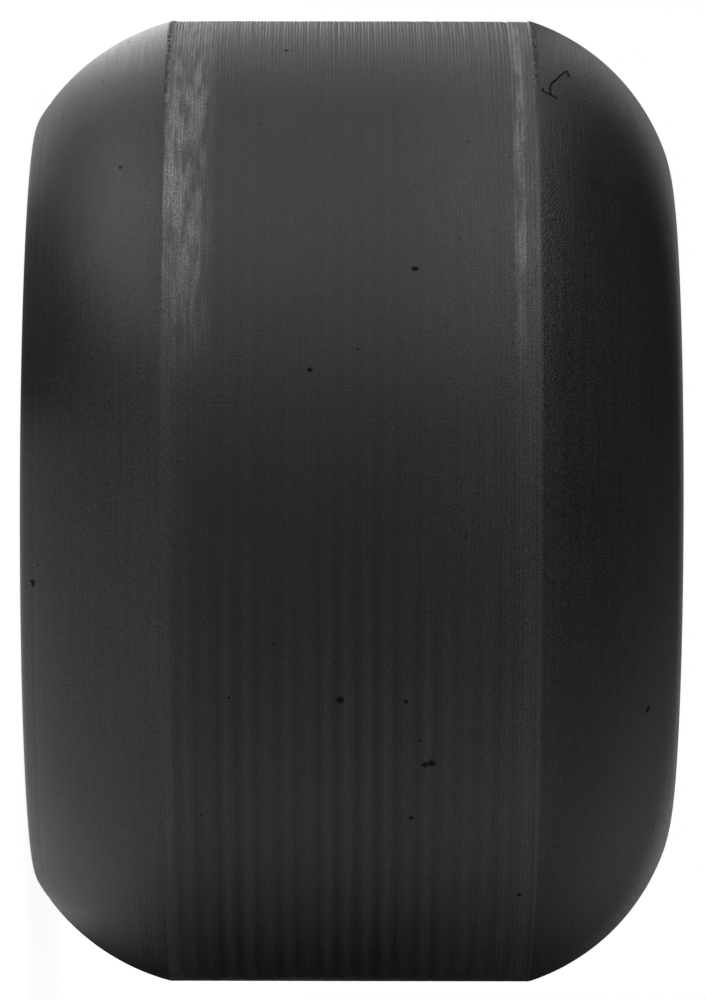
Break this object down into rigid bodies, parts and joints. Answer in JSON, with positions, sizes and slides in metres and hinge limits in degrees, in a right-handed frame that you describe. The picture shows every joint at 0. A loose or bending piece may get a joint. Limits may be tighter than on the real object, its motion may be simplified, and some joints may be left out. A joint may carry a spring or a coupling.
{
  "type": "skateboard wheel",
  "caption": "Black urethane street skateboard wheel with a ridged flat tread, rounded shoulders and a shielded ball bearing in each side, split by a spacer.",
  "frame": {"origin": "on the axle line, halfway between the two bearings", "axes": "+Z along the axle towards the outboard side; the wheel lies on its inboard face; X and Y are across the wheel"},
  "size_m": [0.052, 0.052, 0.0342],
  "materials": {
    "urethane": "satin black, fine turning ridges on the tread",
    "bearing_steel": "ground steel",
    "ball_steel": "polished steel",
    "cage_nylon": "moulded nylon",
    "shield_steel": "pressed sheet steel",
    "spring_wire": "drawn spring wire",
    "spacer_metal": "turned"
  },
  "bodies": {
    "wheel": {"wheel_body": "urethane", "outboard_outer_ring": "bearing_steel", "outboard_shield": "shield_steel", "outboard_snap_ring": "spring_wire", "inboard_outer_ring": "bearing_steel", "inboard_shield": "shield_steel", "inboard_snap_ring": "spring_wire"},
    "outboard_inner": {"outboard_inner_ring": "bearing_steel"},
    "outboard_cage": {"outboard_ball_cage": "cage_nylon"},
    "outboard_ball_1": {"outboard_ball_1": "ball_steel"},
    "outboard_ball_2": {"outboard_ball_2": "ball_steel"},
    "outboard_ball_3": {"outboard_ball_3": "ball_steel"},
    "outboard_ball_4": {"outboard_ball_4": "ball_steel"},
    "outboard_ball_5": {"outboard_ball_5": "ball_steel"},
    "outboard_ball_6": {"outboard_ball_6": "ball_steel"},
    "outboard_ball_7": {"outboard_ball_7": "ball_steel"},
    "inboard_inner": {"inboard_inner_ring": "bearing_steel", "bearing_spacer": "spacer_metal"},
    "inboard_cage": {"inboard_ball_cage": "cage_nylon"},
    "inboard_ball_1": {"inboard_ball_1": "ball_steel"},
    "inboard_ball_2": {"inboard_ball_2": "ball_steel"},
    "inboard_ball_3": {"inboard_ball_3": "ball_steel"},
    "inboard_ball_4": {"inboard_ball_4": "ball_steel"},
    "inboard_ball_5": {"inboard_ball_5": "ball_steel"},
    "inboard_ball_6": {"inboard_ball_6": "ball_steel"},
    "inboard_ball_7": {"inboard_ball_7": "ball_steel"}
  },
  "joints": [
    {"name": "outboard_inner_turn", "type": "hinge", "parent": "wheel", "child": "outboard_inner", "pos_m": [0, 0, 0.0085], "axis": [0, 0, 1], "continuous": true},
    {"name": "outboard_cage_turn", "type": "hinge", "parent": "wheel", "child": "outboard_cage", "pos_m": [0, 0, 0.0085], "axis": [0, 0, 1], "continuous": true},
    {"name": "outboard_ball_1_roll", "type": "hinge", "parent": "outboard_cage", "child": "outboard_ball_1", "pos_m": [0.0075, 0, 0.0085], "axis": [0, 0, 1], "continuous": true},
    {"name": "outboard_ball_2_roll", "type": "hinge", "parent": "outboard_cage", "child": "outboard_ball_2", "pos_m": [0.00468, 0.00586, 0.0085], "axis": [0, 0, 1], "continuous": true},
    {"name": "outboard_ball_3_roll", "type": "hinge", "parent": "outboard_cage", "child": "outboard_ball_3", "pos_m": [-0.00167, 0.00731, 0.0085], "axis": [0, 0, 1], "continuous": true},
    {"name": "outboard_ball_4_roll", "type": "hinge", "parent": "outboard_cage", "child": "outboard_ball_4", "pos_m": [-0.00676, 0.00325, 0.0085], "axis": [0, 0, 1], "continuous": true},
    {"name": "outboard_ball_5_roll", "type": "hinge", "parent": "outboard_cage", "child": "outboard_ball_5", "pos_m": [-0.00676, -0.00325, 0.0085], "axis": [0, 0, 1], "continuous": true},
    {"name": "outboard_ball_6_roll", "type": "hinge", "parent": "outboard_cage", "child": "outboard_ball_6", "pos_m": [-0.00167, -0.00731, 0.0085], "axis": [0, 0, 1], "continuous": true},
    {"name": "outboard_ball_7_roll", "type": "hinge", "parent": "outboard_cage", "child": "outboard_ball_7", "pos_m": [0.00468, -0.00586, 0.0085], "axis": [0, 0, 1], "continuous": true},
    {"name": "inboard_inner_turn", "type": "hinge", "parent": "wheel", "child": "inboard_inner", "pos_m": [0, 0, -0.0085], "axis": [0, 0, 1], "continuous": true},
    {"name": "inboard_cage_turn", "type": "hinge", "parent": "wheel", "child": "inboard_cage", "pos_m": [0, 0, -0.0085], "axis": [0, 0, 1], "continuous": true},
    {"name": "inboard_ball_1_roll", "type": "hinge", "parent": "inboard_cage", "child": "inboard_ball_1", "pos_m": [0.0075, 0, -0.0085], "axis": [0, 0, 1], "continuous": true},
    {"name": "inboard_ball_2_roll", "type": "hinge", "parent": "inboard_cage", "child": "inboard_ball_2", "pos_m": [0.00468, 0.00586, -0.0085], "axis": [0, 0, 1], "continuous": true},
    {"name": "inboard_ball_3_roll", "type": "hinge", "parent": "inboard_cage", "child": "inboard_ball_3", "pos_m": [-0.00167, 0.00731, -0.0085], "axis": [0, 0, 1], "continuous": true},
    {"name": "inboard_ball_4_roll", "type": "hinge", "parent": "inboard_cage", "child": "inboard_ball_4", "pos_m": [-0.00676, 0.00325, -0.0085], "axis": [0, 0, 1], "continuous": true},
    {"name": "inboard_ball_5_roll", "type": "hinge", "parent": "inboard_cage", "child": "inboard_ball_5", "pos_m": [-0.00676, -0.00325, -0.0085], "axis": [0, 0, 1], "continuous": true},
    {"name": "inboard_ball_6_roll", "type": "hinge", "parent": "inboard_cage", "child": "inboard_ball_6", "pos_m": [-0.00167, -0.00731, -0.0085], "axis": [0, 0, 1], "continuous": true},
    {"name": "inboard_ball_7_roll", "type": "hinge", "parent": "inboard_cage", "child": "inboard_ball_7", "pos_m": [0.00468, -0.00586, -0.0085], "axis": [0, 0, 1], "continuous": true}
  ],
  "couplings": [
    {"joint": "outboard_cage_turn", "follows": "outboard_inner_turn", "ratio": 0.3677},
    {"joint": "outboard_ball_1_roll", "follows": "outboard_inner_turn", "ratio": -1.7573},
    {"joint": "outboard_ball_2_roll", "follows": "outboard_inner_turn", "ratio": -1.7573},
    {"joint": "outboard_ball_3_roll", "follows": "outboard_inner_turn", "ratio": -1.7573},
    {"joint": "outboard_ball_4_roll", "follows": "outboard_inner_turn", "ratio": -1.7573},
    {"joint": "outboard_ball_5_roll", "follows": "outboard_inner_turn", "ratio": -1.7573},
    {"joint": "outboard_ball_6_roll", "follows": "outboard_inner_turn", "ratio": -1.7573},
    {"joint": "outboard_ball_7_roll", "follows": "outboard_inner_turn", "ratio": -1.7573},
    {"joint": "inboard_cage_turn", "follows": "inboard_inner_turn", "ratio": 0.3677},
    {"joint": "inboard_ball_1_roll", "follows": "inboard_inner_turn", "ratio": -1.7573},
    {"joint": "inboard_ball_2_roll", "follows": "inboard_inner_turn", "ratio": -1.7573},
    {"joint": "inboard_ball_3_roll", "follows": "inboard_inner_turn", "ratio": -1.7573},
    {"joint": "inboard_ball_4_roll", "follows": "inboard_inner_turn", "ratio": -1.7573},
    {"joint": "inboard_ball_5_roll", "follows": "inboard_inner_turn", "ratio": -1.7573},
    {"joint": "inboard_ball_6_roll", "follows": "inboard_inner_turn", "ratio": -1.7573},
    {"joint": "inboard_ball_7_roll", "follows": "inboard_inner_turn", "ratio": -1.7573}
  ]
}
